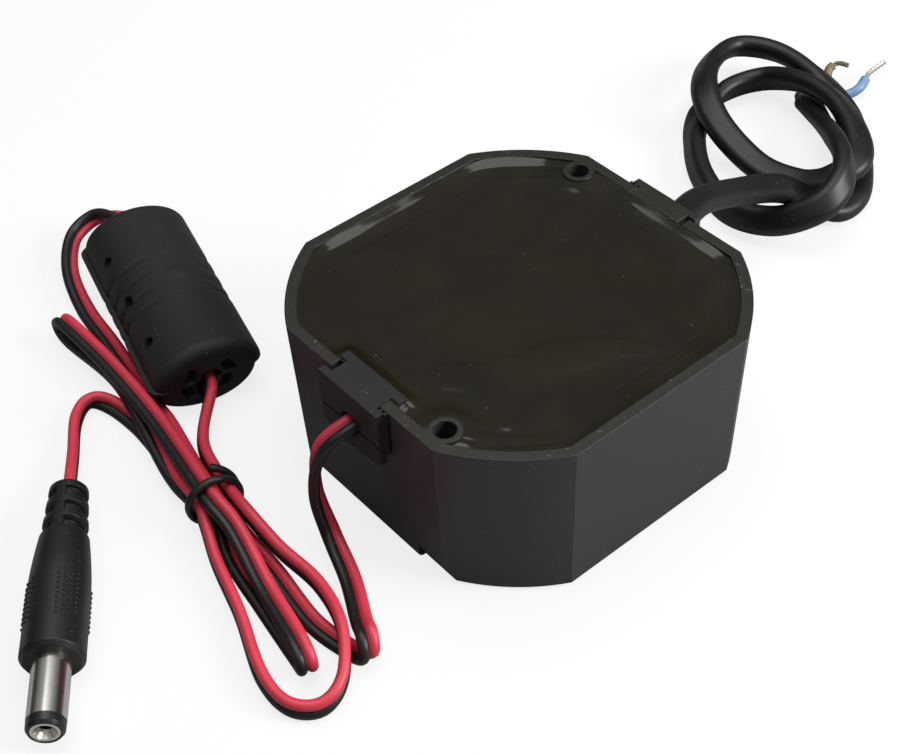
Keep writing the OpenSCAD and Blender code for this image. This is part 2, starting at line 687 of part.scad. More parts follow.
module half_core(z0) {
    rotate([0, 90, 0]) intersection() {
        difference() {
            cylinder(h = core_l, r = core_r, center = true);
            cylinder(h = core_l + 2, r = core_bore_r, center = true);
        }
        translate([-z0 - span / 2, 0, 0]) cube(span, center = true);
    }
}

module ferrite_core_upper() { color("#55555a") choke_place() half_core(0); }
module ferrite_core_lower() { color("#55555a") choke_place() half_core(-span); }

// Barrel plug, along X from the lead's end of its strain relief

sleeve_in = 4;
sleeve_wall = 0.35;
neck_step = 0.45;
relief_roll = 8;
contact_r = 1.55;
flare_l = 1.2;

module plug_place() {
    translate([plug_at[0], plug_at[1], plug_z]) rotate([0, 0, plug_turn]) children();
}

module turned_x(profile) {
    rotate([0, 90, 0]) rotate_extrude() polygon(profile);
}

module plug_moulding() {
    nose = plug_r - 3.7;
    swell = 10.5;
    swell_steps = 7;
    body = [for (k = [0:swell_steps]) let (u = k / swell_steps)
        [3.7 + (nose - 0.1) * sin(90 * u), relief_l + swell * u]];
    color("#1f1f20") plug_place() difference() {
        turned_x(concat([[0, 0], [2.7, 0], [2.95, 0.3], [3.5, relief_l - 0.5]], body,
            [[plug_r, plug_l - 0.7], [plug_r - 0.6, plug_l], [0, plug_l]]));
        rotate([90, 0, 0]) flat_bar(2 * wire_d + 2 * fit_gap, wire_d + 2 * fit_gap, -1, 4.6);
        for (k = [0:2], a = [0, 180]) let (mid = a + relief_roll) {
            ring_cut(2.4, plug_r + 1, 2.2 + 3.2 * k, 1.5, mid - 76, mid + 76);
            flared_cut(2.75, plug_r - 0.6, 2.2 + 3.2 * k, 1.5, 2.9, mid - 76, mid + 76);
        }
        translate([plug_l - sleeve_in, 0, 0]) rotate([0, 90, 0])
            cylinder(h = sleeve_in + 1, d = sleeve_d - 2 * neck_step);
    }
}

module plug_sleeve() {
    r = sleeve_d / 2;
    neck = r - neck_step;
    color("#c9c7c2") plug_place() turned_x([[neck - sleeve_wall, plug_l - sleeve_in], [neck, plug_l - sleeve_in],
        [neck, plug_l], [r, plug_l], [r, plug_l + sleeve_l], [r - sleeve_wall, plug_l + sleeve_l],
        [r - sleeve_wall, plug_l + sleeve_wall], [neck - sleeve_wall, plug_l + sleeve_wall]]);
}

module plug_insulator() {
    r = sleeve_d / 2;
    front = plug_l + sleeve_l + tip_l;
    back = plug_l - sleeve_in;
    neck = r - neck_step - sleeve_wall;
    color("#161616") plug_place() turned_x([[contact_r, back], [neck, back], [neck, plug_l + sleeve_wall],
        [r - sleeve_wall, plug_l + sleeve_wall], [r - sleeve_wall, plug_l + sleeve_l],
        [r - 0.01, plug_l + sleeve_l], [r - 0.06, front - 0.5], [r - 0.4, front],
        [contact_r + 0.6, front], [contact_r, front - flare_l]]);
}

module plug_contact() {
    bore = contact_bore_d / 2;
    front = plug_l + sleeve_l + tip_l - 0.1;
    color("#d7d3c8") plug_place() turned_x([[0, plug_l - sleeve_in], [contact_r, plug_l - sleeve_in],
        [contact_r, front - flare_l + 0.1], [contact_r + 0.5, front], [bore + 0.55, front],
        [bore, front - flare_l], [bore, plug_l], [0, plug_l]]);
}

// Leads and the tie

module mains_cable() { color("#2a2a28") swept(mains_route, oval(mains_w, mains_t)); }
module brown_core() { color("#8a7a50") swept(brown_route, oval(core_d, core_d)); }
module blue_core() { color("#5f86b5") swept(blue_route, oval(core_d, core_d)); }
module brown_conductor() { color("#8d8570") swept(brown_end_route, oval(strand_d, strand_d)); }
module blue_conductor() { color("#b9ab9a") swept(conductor_route, oval(strand_d, strand_d)); }
module dc_lead() { color("#c22a3c") swept(dc_route, oval(2 * wire_d, wire_d)); }

module cable_tie() {
    color("#1a1a1a") translate([tie_at[0], tie_at[1], tie_z]) rotate([0, 0, tie_turn]) rotate([0, 90, 0])
        rotate_extrude() translate([tie_r, 0]) circle(d = tie_d, $fn = 24);
}

enclosure_shell();
potting_resin();
dc_entry_upper();
dc_entry_lower();
mains_entry_upper();
mains_entry_lower();
circuit_board();
transformer_core_upper();
transformer_core_lower();
transformer_bobbin();
transformer_winding();
bulk_capacitor_a();
bulk_capacitor_b();
interference_capacitor();
barrier_capacitor();
line_choke_core();
line_choke_winding();
bridge_rectifier();
fusible_resistor();
controller_chip();
optocoupler();
output_diode();
output_capacitor_a();
output_capacitor_b();
output_choke_core();
output_choke_winding();
ferrite_case_upper();
ferrite_case_lower();
ferrite_core_upper();
ferrite_core_lower();
plug_moulding();
plug_sleeve();
plug_insulator();
plug_contact();
mains_cable();
brown_core();
blue_core();
brown_conductor();
blue_conductor();
dc_lead();
cable_tie();
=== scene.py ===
import bpy
import math
import numpy as np
from mathutils import Matrix, Vector, noise


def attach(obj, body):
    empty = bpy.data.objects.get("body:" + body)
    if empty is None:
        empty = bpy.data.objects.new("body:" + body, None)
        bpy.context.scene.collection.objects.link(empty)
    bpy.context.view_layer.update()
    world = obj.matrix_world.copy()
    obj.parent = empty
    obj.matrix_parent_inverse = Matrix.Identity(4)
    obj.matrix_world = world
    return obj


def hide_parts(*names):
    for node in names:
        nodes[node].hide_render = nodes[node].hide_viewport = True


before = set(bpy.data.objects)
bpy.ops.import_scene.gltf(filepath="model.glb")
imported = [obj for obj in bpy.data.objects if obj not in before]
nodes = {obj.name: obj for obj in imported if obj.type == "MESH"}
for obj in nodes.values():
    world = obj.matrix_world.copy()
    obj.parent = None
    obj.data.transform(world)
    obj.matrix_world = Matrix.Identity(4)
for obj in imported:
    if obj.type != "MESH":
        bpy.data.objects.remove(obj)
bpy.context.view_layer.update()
mm = 0.001

# Camera, as the photograph was taken

cameraSetup = {
    "place": (-0.11729, -0.13300, 0.18371),
    "azimuth": -37.962,
    "elevation": 44.286,
    "roll": -3.2875,
    "lens": 64.27,
    "sensor": 36,
    "clip": 0.01,
}


def makeCamera(setup):
    azimuth, elevation, roll = (math.radians(setup[key]) for key in ("azimuth", "elevation", "roll"))
    back = Vector((math.sin(azimuth) * math.cos(elevation), -math.cos(azimuth) * math.cos(elevation),
                   math.sin(elevation)))
    level = Vector((math.cos(azimuth), math.sin(azimuth), 0))
    upright = back.cross(level)
    right = math.cos(roll) * level + math.sin(roll) * upright
    up = math.cos(roll) * upright - math.sin(roll) * level
    data = bpy.data.cameras.new("photoCamera")
    data.lens = setup["lens"]
    data.sensor_fit = "HORIZONTAL"
    data.sensor_width = setup["sensor"]
    data.clip_start = setup["clip"]
    made = bpy.data.objects.new("photoCamera", data)
    turn = Matrix((right, up, back)).transposed().to_4x4()
    made.matrix_world = Matrix.Translation(setup["place"]) @ turn
    bpy.context.scene.collection.objects.link(made)
    bpy.context.scene.camera = made


makeCamera(cameraSetup)
print("camera in place")

# Mesh tools


def newPiece(name, points, faces, smooth=True):
    mesh = bpy.data.meshes.new(name)
    mesh.from_pydata([tuple(p) for p in points], [], faces)
    mesh.validate()
    if smooth:
        mesh.shade_smooth()
    made = bpy.data.objects.new(name, mesh)
    bpy.context.scene.collection.objects.link(made)
    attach(made, "root")
    return made


def clamp(value):
    return min(1, max(0, value))


def headings(line):
    # unit direction of travel at each place
    heading = np.gradient(line, axis=0)
    return heading / np.linalg.norm(heading, axis=1)[:, None]


def squareTo(heading, wide):
    # the wide ways, made square to the headings
    wide = wide - (wide * heading).sum(1)[:, None] * heading
    return wide / np.linalg.norm(wide, axis=1)[:, None]


def smoothRoute(route, step):
    # Catmull-Rom through the route's points; returns places, wide ways and headings
    places = np.array([p[:3] for p in route], float)
    turn, slope = (np.radians([p[k] if len(p) > k else 0 for p in route]) for k in (3, 4))
    ways = np.stack([np.cos(turn) * np.cos(slope), np.sin(turn) * np.cos(slope), np.sin(slope)], axis=1)
    line, wide = [], []
    for i in range(len(places) - 1):
        a, b = places[max(i - 1, 0)], places[i]
        c, d = places[i + 1], places[min(i + 2, len(places) - 1)]
        count = max(2, math.ceil(np.linalg.norm(c - b) / step))
        for t in np.arange(count) / count:
            line.append(0.5 * (2 * b + (c - a) * t + (2 * a - 5 * b + 4 * c - d) * t ** 2
                               + (3 * b - a - 3 * c + d) * t ** 3))
            wide.append(ways[i] * (1 - t) + ways[i + 1] * t)
    line, wide = np.array(line + [places[-1]]), np.array(wide + [ways[-1]])
    heading = headings(line)
    return line, squareTo(heading, wide), heading


def relax(line, first, last, rounds):
    # lets a stretch between two of the line's places find its own gentle curve
    i, j = (int(np.argmin(np.linalg.norm(line - np.array(place), axis=1))) for place in (first, last))
    for _ in range(rounds):
        line[i + 1:j] += 0.5 * ((line[i:j - 1] + line[i + 2:j + 1]) / 2 - line[i + 1:j])
    return line


def bandFaces(start, rings, sides):
    # the sides of a tube whose rings of points follow one another from number start
    return [tuple(start + j for j in (i * sides + s, i * sides + (s + 1) % sides,
                                      (i + 1) * sides + (s + 1) % sides, (i + 1) * sides + s))
            for i in range(rings - 1) for s in range(sides)]


def capFaces(start, rings, sides):
    # the two ends of that tube
    last = start + (rings - 1) * sides
    return [tuple(range(start, start + sides))[::-1], tuple(range(last, last + sides))]


def sweep(name, line, wide, heading, section, second=()):
    # section is a closed outline in mm; the sides numbered in second take the second material
    up = np.cross(heading, wide)
    rings = [line[i] + wide[i] * u + up[i] * v for i in range(len(line)) for u, v in section]
    count = len(section)
    faces = bandFaces(0, len(line), count) + capFaces(0, len(line), count)
    made = newPiece(name, np.array(rings) * mm, faces)
    if len(second):
        marks = [int(k in second) for i in range(len(line) - 1) for k in range(count)] + [0, 0]
        made.data.materials.append(None)
        made.data.materials.append(None)
        made.data.polygons.foreach_set("material_index", marks)
    return made


def roundCutter(place, axis, radius, reach, sides=48):
    # a plain round bar used only to cut a hole, from place along axis
    turn = Vector((0, 0, 1)).rotation_difference(Vector(axis))
    points = [Vector(place) + turn @ Vector((radius * math.cos(math.tau * k / sides),
                                             radius * math.sin(math.tau * k / sides), z))
              for z in (0, reach) for k in range(sides)]
    return points, capFaces(0, 2, sides) + bandFaces(0, 2, sides)


def boxCutter(low, high):
    (x0, y0, z0), (x1, y1, z1) = low, high
    points = [(x, y, z) for z in (z0, z1) for x, y in ((x0, y0), (x1, y0), (x1, y1), (x0, y1))]
    return points, capFaces(0, 2, 4) + bandFaces(0, 2, 4)


def cutAway(piece, cutters, sharp=50):
    # takes closed forms, given as points in mm and faces, out of a piece
    for points, faces in cutters:
        mesh = bpy.data.meshes.new("cutter")
        mesh.from_pydata([tuple(c * mm for c in p) for p in points], [], faces)
        cutter = bpy.data.objects.new("cutter", mesh)
        bpy.context.scene.collection.objects.link(cutter)
        trim = piece.modifiers.new("cut", "BOOLEAN")
        trim.operation, trim.solver, trim.object = "DIFFERENCE", "EXACT", cutter
        graph = bpy.context.evaluated_depsgraph_get()
        piece.data = bpy.data.meshes.new_from_object(piece.evaluated_get(graph))
        piece.modifiers.clear()
        bpy.data.objects.remove(cutter)
    piece.data.shade_smooth()
    piece.data.set_sharp_from_angle(angle=math.radians(sharp))


def ovalOutline(width, thickness, steps):
    flat = (width - thickness) / 2
    angles = [math.tau * (k + 0.5) / steps for k in range(steps)]
    return [(math.copysign(flat, math.cos(a)) + thickness / 2 * math.cos(a), thickness / 2 * math.sin(a))
            for a in angles]


def twinOutline(radius, web, steps):
    # two round wires joined by a web; the first half of the sides is the red one
    cut = math.asin(web / radius)
    angles = [-math.pi + cut + (math.tau - 2 * cut) * k / steps for k in range(steps + 1)]
    right = [(radius * math.cos(cut) + radius * math.cos(a), radius * math.sin(a)) for a in angles]
    return right + [(-u, -v) for u, v in right]


# Leads. The points are x, y, z in mm, bearing and slope of the wide way, as in CAD but for the stretch
# that leaves the choke, which lies lower to meet the oval case's end

dcLeadFacts = {"wireRadius": 0.85, "web": 0.3, "sides": 18, "step": 0.7,
               "eased": ((-34.2, 35.9, 4.2), (-44.8, 14.8, 5.4), 12)}
dcRoute = [
    (-25.4, 0, 22, 90, 0), (-32, 0, 22, 90, 0), (-36.5, 1.2, 19, 70, -5), (-37.7, 1.9, 11, 38, -12),
    (-37.9, -1, 4, 0, -15), (-40, -8, 1.8, -15, 0), (-43.8, -15.6, 2.8, -10, 0), (-45.4, -19, 4.6, -5, 0),
    (-46.6, -20.8, 2.7, 0, 0), (-47.2, -18.2, 1.1, 5, 0), (-48.4, -10, 0.9, 8, 0), (-47.3, 1, 1.3, -5, 0),
    (-47.4, 8.6, 2.8, -10, 0), (-47.2, 15.5, 4.6, -12, 40), (-45.3, 24.6, 3.2, -12, 0),
    (-42.7, 36, 2.1, -12, 0), (-41.9, 41, 1.4, -10, 0), (-40.7, 48, 0.9, -8, 0), (-38.9, 60, 0.9, -2, 0),
    (-37.6, 70, 1, 3, -5), (-34.8, 79.5, 2, -5, -38), (-30, 86.2, 3, -25, -60), (-25, 87, 4.4, -30, -50),
    (-22.6, 83.6, 5.7, -18, -20), (-22.5, 77.9, 6, -15, 0), (-28.1, 56.5, 6, -15, 0),
    (-31.7, 42.8, 5.9, -18, 30), (-34.2, 35.9, 4.2, -24, 58), (-37.5, 32.4, 3.7, -28, 68),
    (-40.5, 28.8, 3.9, -28, 74), (-42.9, 24.2, 4.5, -24, 78), (-44.8, 14.8, 5.4, 0, 85),
    (-45.6, 8.3, 6.1, 0, 88), (-45.3, 1.5, 4.2, 0, 88), (-44.7, -7, 3.5, 0, 88),
    (-47, -15.4, 4, 0, 88), (-51.6, -21.5, 2.8, 0, 85), (-56.2, -22.8, 1.8, 30, 80),
    (-59.6, -19.6, 1.8, 60, 80), (-59.4, -13, 1.8, 0, 80), (-55.6, -2.5, 1.8, 0, 85),
    (-52.8, 7.4, 2.3, 0, 85), (-49.7, 16, 4.1, 0, 83), (-48.7, 24.6, 3.2, -12, 60),
    (-45.9, 36, 3, -12, 0), (-43.4, 49, 3, -9, 0), (-43.3, 64.6, 0.9, -8, 0), (-43.3, 67.8, 2.7, -8, 0),
    (-43.4, 65, 4.7, -8, 0), (-43.5, 51, 4.9, -8, 0), (-44.8, 35, 5.2, -12, 8), (-48.2, 15.7, 7.1, -12, 25),
    (-48.5, 8.2, 5.6, -12, 8), (-50.6, -2, 3.2, -13, 0), (-53.3, -13.8, 4.6, -14, 0),
    (-54.2, -16.8, 2.7, -15, 0), (-53.4, -13.8, 0.9, -15, 0), (-51.8, -3, 0.9, -13, 0),
    (-50.2, 6.9, 0.9, -12, 0), (-47.2, 15.5, 2, -12, 0), (-46.7, 26.7, 0.9, -12, 0), (-45.8, 39, 0.9, -4, 0),
    (-46.8, 46.4, 1.5, 20, 45), (-49.2, 49.4, 1.8, -80, 75), (-53, 47, 1.9, 0, 88), (-57.6, 40, 2.4, 0, 85),
    (-62.5, 32, 4.6, 0, 85), (-65.1, 28.3, 4.6, 0, 85),
]
mainsFacts = {"width": 5.4, "thickness": 3.4, "sides": 36, "step": 1.0}
mainsRoute = [
    (25.4, 0, 22, 90, 0), (33, 0, 22, 90, 0), (42.5, 2.9, 20, 100, 5), (54.7, 4.5, 14.6, 90, 18),
    (65.3, 4.5, 9.6, 66, 32), (71.5, 2.6, 4.8, 66, 28), (75.9, -0.4, 2.2, 75, 12), (81.2, 0, 1.8, 110, 5),
    (87, 3.7, 1.8, 130, 5), (94.1, 10.3, 1.9, 138, 10), (99.6, 17.4, 2.7, 150, 15),
    (101.9, 26.7, 4.9, 170, 42), (101.6, 36.6, 6, 200, 52), (96.5, 43.4, 6.4, 262, 51),
    (87.5, 41.8, 7, 302, 50), (78.8, 34.9, 8.3, 335, 25), (75, 27.1, 6, 345, 20), (74.6, 17.3, 2.8, 0, 15),
    (76.2, 9.8, 2.5, 15, 20), (77.8, 5.6, 3.9, 30, 10), (80, 3, 5.8, 75, 5), (83.5, 2.4, 6.7, 104, 5),
    (87.6, 5, 7, 124, 12), (92, 10.6, 7.4, 142, 30), (95, 17.5, 7.8, 158, 38), (95.8, 25.4, 7.2, 185, 50),
    (95.2, 34.1, 4, 225, 70), (88.3, 37.7, 2.8, 270, 65), (79.8, 36.1, 2.2, 303, 15),
    (71.6, 30.2, 2.7, 314, 70), (64.8, 21.8, 2.8, 326, 77), (61.2, 11.9, 2.8, 15, 74),
    (62.7, 3.1, 4.6, 58, 50), (67, -2.5, 8.2, 54, 46), (72.3, -2.7, 10.4, 65, 45),
    (77.1, 0.3, 11.2, 75, 50), (80.7, 4.4, 10.9, 88, 60), (85.7, 10.1, 8.2, 105, 60),
    (91.6, 17, 4.6, 125, 45), (97.6, 24.8, 1.9, 150, 10),
]
coreFacts = {"brownRadius": 0.85, "blueRadius": 0.95, "sides": 16, "step": 0.4, "strandRadius": 0.17,
             "strandCircle": 0.31, "strandsRound": 6, "strandSides": 8, "strandStep": 0.35, "lay": 7}
brownRoute = [(96.8, 25.5, 2.1), (97.8, 27.3, 1.9), (99.8, 28.4, 1.1), (102.6, 28.2, 0.9),
              (105.6, 27.4, 1.9), (107.6, 28.3, 3.2), (108.6, 28.2, 3.7)]
brownEndRoute = [(108.6, 28.2, 3.7), (109.6, 27.6, 4.1), (110.3, 25.8, 4.1)]
blueRoute = [(98.6, 24.5, 1.7), (99.5, 26, 1.3), (101, 25.8, 0.9), (103, 24, 0.9), (105.8, 21.8, 1.4),
             (108, 20.9, 2.3), (110.8, 21.8, 2.5)]
conductorRoute = [(110.8, 21.8, 2.5), (113.6, 22.9, 2.3), (118.8, 23.5, 2)]


def makeTwinLead(facts):
    line, wide, heading = smoothRoute(dcRoute, facts["step"])
    line = relax(line, *facts["eased"])
    outline = twinOutline(facts["wireRadius"], facts["web"], facts["sides"])
    half = len(outline) // 2
    made = sweep("dcLead", line, wide, heading, outline, second=range(half, 2 * half - 1))
    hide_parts("dc_lead")
    return made, line


def makeMains(facts):
    line, wide, heading = smoothRoute(mainsRoute, facts["step"])
    outline = ovalOutline(facts["width"], facts["thickness"], facts["sides"])
    made = sweep("mainsLead", line, wide, heading, outline)
    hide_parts("mains_cable")
    return made, line


def anyWay(line):
    # wide ways for a round section: one side carried along without twist
    heading = headings(line)
    way = np.array((0.3, 0.2, 1.0))
    ways = []
    for t in heading:
        way = way - (way @ t) * t
        way /= np.linalg.norm(way)
        ways.append(way)
    return np.array(ways), heading


def makeRound(name, route, radius, node, facts):
    line = smoothRoute(route, facts["step"])[0]
    ways, heading = anyWay(line)
    width = 2 * facts[radius]
    made = sweep(name, line, ways, heading, ovalOutline(width, width, facts["sides"]))
    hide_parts(node)
    return made


def makeStrands(name, route, node, facts):
    # a bare conductor: one straight strand with the others laid round it
    line = smoothRoute(route, facts["strandStep"])[0]
    ways, heading = anyWay(line)
    up = np.cross(heading, ways)
    along = np.concatenate([[0], np.cumsum(np.linalg.norm(np.diff(line, axis=0), axis=1))])
    sides, outer = facts["strandSides"], facts["strandsRound"]
    points, faces = [], []
    for k in range(outer + 1):
        angle = math.tau * k / outer + math.tau * along / facts["lay"]
        reach = 0 if k == outer else facts["strandCircle"]
        centre = line + reach * (np.cos(angle)[:, None] * ways + np.sin(angle)[:, None] * up)
        faces += bandFaces(len(points), len(line), sides) + capFaces(len(points), len(line), sides)
        for i in range(len(line)):
            for s in range(sides):
                a = math.tau * s / sides
                side = math.cos(a) * ways[i] + math.sin(a) * up[i]
                points.append(centre[i] + facts["strandRadius"] * side)
    made = newPiece(name, np.array(points) * mm, faces)
    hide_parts(node)
    return made


dcLead, dcLine = makeTwinLead(dcLeadFacts)
mainsLead, mainsLine = makeMains(mainsFacts)
brownCore = makeRound("brownCore", brownRoute, "brownRadius", "brown_core", coreFacts)
blueCore = makeRound("blueCore", blueRoute, "blueRadius", "blue_core", coreFacts)
blueStrands = makeStrands("blueStrands", conductorRoute, "blue_conductor", coreFacts)
brownStrands = makeStrands("brownStrands", brownEndRoute, "brown_conductor", coreFacts)
print("leads laid")

# Tie: a coated wire that goes once and a third round the bundle

tieFacts = {"centre": (-47.2, 15.5, 4.7), "along": (-0.2, -0.98, 0), "radius": 4.12, "width": 1.35,
            "thickness": 1.05, "start": 75, "turns": -1.38, "steps": 110, "sides": 16, "lead": -2.7,
            "leadShare": 0.3, "leadEase": 1.4, "end": 0.5, "endFrom": 0.7}


def makeTie(facts):
    along = np.array(facts["along"]) / np.linalg.norm(facts["along"])
    up = np.array((0, 0, 1))
    side = np.cross(up, along)
    line = []
    for i in range(facts["steps"] + 1):
        share = i / facts["steps"]
        angle = math.radians(facts["start"]) + math.tau * facts["turns"] * share
        slide = facts["lead"] * max(0, 1 - share / facts["leadShare"]) ** facts["leadEase"]
        slide += facts["end"] * max(0, share - facts["endFrom"])
        out = math.cos(angle) * side + math.sin(angle) * up
        line.append(np.array(facts["centre"]) + facts["radius"] * out + slide * along)
    line = np.array(line)
    heading = headings(line)
    wide = squareTo(heading, np.array([along] * len(line)))
    outline = ovalOutline(facts["width"], facts["thickness"], facts["sides"])
    made = sweep("wireTie", line, wide, heading, outline)
    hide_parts("cable_tie")
    return made


wireTie = makeTie(tieFacts)
print("tie bent")

# Potting resin: a cast surface that climbs the walls and the screw tubes. A pool is a closed outline
# whose inside lies higher or lower, given with its step and the step's softness

resinFacts = {
    "level": 27.38, "highest": 28.17, "foot": 2.1, "footShare": 0.977, "halfWidth": 28.22,
    "cornerRadius": 32.42, "cornerBlend": 2, "rings": 76, "ringEase": 1.7, "spokes": 360,
    "creepSlope": 0.27, "creepReach": 2.5, "creepBlend": 0.45, "creepSpread": 0.5, "driftSize": 9,
    "nearShare": 0.35, "nearWay": (-0.615, -0.788), "nearSpan": 25, "nearStart": 0.3,
    "hollows": ((0.03, 1.7, 0.4), (0.05, 4.0, 0.5), (0.05, 6.5, 1.3)),
    "flange": (-26.2, 6.7), "flangeSlope": 0.5, "flangeReach": 1.3, "underFlange": 28.05,
    "tubes": ((-26.2, -14.61), (26.2, 14.61)), "tubeRise": 0.7, "tubeReach": 2.6, "tubeRadius": 2.45,
    "tubeFade": 2, "cutHeight": 30, "cutSides": 64,
    "ripple": 0.05, "rippleSize": 10, "fineShare": 0.5, "fineScale": 2.3,
    "pools": (
        (0.12, 0.42, ((-19.5, -3), (-16.5, -5), (-13, -8), (-9.5, -9.5), (-6.5, -10), (-3, -11),
                      (1.5, -14), (5, -18), (7, -22), (5, -22.5), (1.5, -19.5), (-3, -18.5), (-7.5, -16),
                      (-10, -17), (-12, -19.5), (-15, -21.5), (-19.5, -19.5), (-20.5, -17.5), (-19, -14),
                      (-19, -10.5), (-21, -7.5), (-21, -4.5))),
        (-0.08, 0.55, ((-20, 5.5), (-22, 1.5), (-20.5, -1), (-16.5, -2), (-17.5, 1), (-19, 4))),
    ),
}


def resinEdge(angle, facts):
    flat = facts["halfWidth"] / max(abs(math.cos(angle)), abs(math.sin(angle)))
    return min(flat, facts["cornerRadius"])


def poolDistance(x, y, points):
    # distance to a closed outline, positive inside it
    best, inside = 1e9, False
    for (ax, ay), (bx, by) in zip(points, points[1:] + points[:1]):
        dx, dy = bx - ax, by - ay
        t = min(1, max(0, ((x - ax) * dx + (y - ay) * dy) / (dx * dx + dy * dy)))
        best = min(best, math.hypot(x - ax - t * dx, y - ay - t * dy))
        if (ay > y) != (by > y) and x < ax + (y - ay) / (by - ay) * dx:
            inside = not inside
    return best if inside else -best


def creep(away, reach, slope, facts):
    # a meniscus: an even slope near what it climbs, easing out into the level
    return slope * facts["creepBlend"] * math.log(1 + math.exp((reach - away) / facts["creepBlend"]))


def resinHeight(x, y, facts):
    toFlat = facts["halfWidth"] - max(abs(x), abs(y))
    toRound = facts["cornerRadius"] - math.hypot(x, y)
    rate = facts["cornerBlend"]
    toWall = max(0, -math.log(math.exp(-rate * toFlat) + math.exp(-rate * toRound)) / rate)
    drift = noise.noise(Vector((x / facts["driftSize"], y / facts["driftSize"], 4.4)))

    # the resin climbs the far walls more than the near ones
    nearX, nearY = facts["nearWay"]
    near = clamp((nearX * x + nearY * y) / facts["nearSpan"] + facts["nearStart"])
    slope = facts["creepSlope"] * (1 - (1 - facts["nearShare"]) * near)
    reach = facts["creepReach"] * (1 + facts["creepSpread"] * drift)
    height = facts["level"] + creep(toWall, reach, slope, facts)
    edge, half = facts["flange"]
    toFlange = math.hypot(max(0, x - edge), max(0, abs(y) - half))
    height += creep(toFlange, facts["flangeReach"], facts["flangeSlope"], facts)
    for deep, at, wide in facts["hollows"]:
        height -= deep * math.exp(-((toWall - at) / wide) ** 2)
    fade = 1 - math.exp(-toWall / facts["tubeFade"])
    for tx, ty in facts["tubes"]:
        toTube = max(0, math.hypot(x - tx, y - ty) - facts["tubeRadius"])
        height += facts["tubeRise"] * math.exp(-(toTube / facts["tubeReach"]) ** 2) * fade
    u, v, scale = x / facts["rippleSize"], y / facts["rippleSize"], facts["fineScale"]
    height += facts["ripple"] * noise.noise(Vector((u, v, 0.3)))
    height += facts["fineShare"] * facts["ripple"] * noise.noise(Vector((u * scale, v * scale, 7.1)))
    for rise, soft, points in facts["pools"]:
        height += rise * (0.5 + 0.5 * math.tanh(poolDistance(x, y, points) / soft))
    return facts["underFlange"] if x < edge and abs(y) < half else min(height, facts["highest"])


def makeResin(facts):
    # rings from the middle outwards, closer together near the walls; extra spokes at the corners
    corner = math.acos(facts["halfWidth"] / facts["cornerRadius"])
    even = {round(math.tau * k / facts["spokes"], 6) for k in range(facts["spokes"])}
    corners = {round((q * math.pi / 2 + s * corner) % math.tau, 6) for q in range(4) for s in (-1, 1)}
    angles = sorted(even | corners)
    rings, count = facts["rings"], len(angles)
    points = [(0, 0, resinHeight(0, 0, facts))]
    for ring in range(1, rings + 1):
        share = 1 - (1 - ring / rings) ** facts["ringEase"]
        for angle in angles:
            reach = resinEdge(angle, facts) * share
            x, y = reach * math.cos(angle), reach * math.sin(angle)
            points.append((x, y, resinHeight(x, y, facts)))
    faces = [(0, 1 + k, 1 + (k + 1) % count) for k in range(count)]
    for r in range(rings - 1):
        a, b = 1 + r * count, 1 + (r + 1) * count
        faces += [(a + k, b + k, b + (k + 1) % count, a + (k + 1) % count) for k in range(count)]
    rim, foot = 1 + (rings - 1) * count, len(points)
    inward = facts["footShare"]
    points += [(x * inward, y * inward, facts["foot"]) for x, y, z in points[rim:rim + count]]
    faces += [(rim + k, foot + k, foot + (k + 1) % count, rim + (k + 1) % count) for k in range(count)]
    faces.append(tuple(foot + k for k in range(count))[::-1])
    made = newPiece("pottingSurface", np.array(points) * mm, faces)
    cut = (facts["tubeRadius"], facts["cutHeight"], facts["cutSides"])
    cutAway(made, [roundCutter((tx, ty, 0), (0, 0, 1), *cut) for tx, ty in facts["tubes"]])
    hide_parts("potting_resin")
    return made


pottingSurface = makeResin(resinFacts)
print("resin cast")

# Mains entry: the resin covers its inner flange, which lies lower than the rim

mainsEntryFacts = {"cover": ((20, -9, 26.5), (28.1, 9, 31)), "sharp": 30}


def makeMainsEntry(facts):
    whole = nodes["mains_entry_upper"]
    points = [whole.matrix_world @ v.co for v in whole.data.vertices]
    made = newPiece("mainsEntryUpper", points, [tuple(p.vertices) for p in whole.data.polygons])
    cutAway(made, [boxCutter(*facts["cover"])], facts["sharp"])
    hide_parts("mains_entry_upper")
    return made


mainsEntryUpper = makeMainsEntry(mainsEntryFacts)
print("mains entry trimmed")

# Ferrite choke: two moulded shells, drawn along their own axis with the joint at height 0

chokeFacts = {
    "at": (-28.1, 56.5, 6), "turn": 75.3, "length": 41.8, "radius": 9.1, "upperHeight": 6.2,
    "lowerHeight": 5.98, "lowerShift": 0.9, "round": 2.3, "gap": 0.9, "sharp": 42,
    "turnSteps": 118, "sideSteps": 134, "cornerSteps": 12, "faceSteps": 16,
    "bore": 1.78, "exit": 2.5, "exitEase": 6,
    "coreRadius": 5.5, "coreHalf": 14.1, "roomRadius": 2.8, "roomHalf": 16.9,
    "hub": 2.7, "pocket": 4.3, "pocketDepth": 1.2, "pocketMargin": 3, "pocketBridge": 30, "pocketEase": 0.35,
    "grooveAt": (5.45, 1.6, -2.25, -5.35), "grooveDepth": 0.42, "grooveWidth": 0.5, "grooveEase": 1.2,
    "leftEnds": (84, 79, 77, 78), "rightEnds": (121, 106, 120, 109), "fade": 30,
    "pits": (10.2, -1.2, -12.4), "pitTurn": 37, "pitRadius": 1.1, "pitDepth": 1.1, "pitReach": 4,
    "gate": {"x": -0.1, "turn": 105, "size": 1.2, "rise": 0.25, "plain": 0.6, "rough": 2,
             "grain": (1.9, 0.3)},
    "seam": {"from": 3.6, "to": 16, "turn": 105, "rise": 0.05, "width": 0.14,
             "beside": (-1.0, -0.5, 0, 0.5, 1.0)},
}


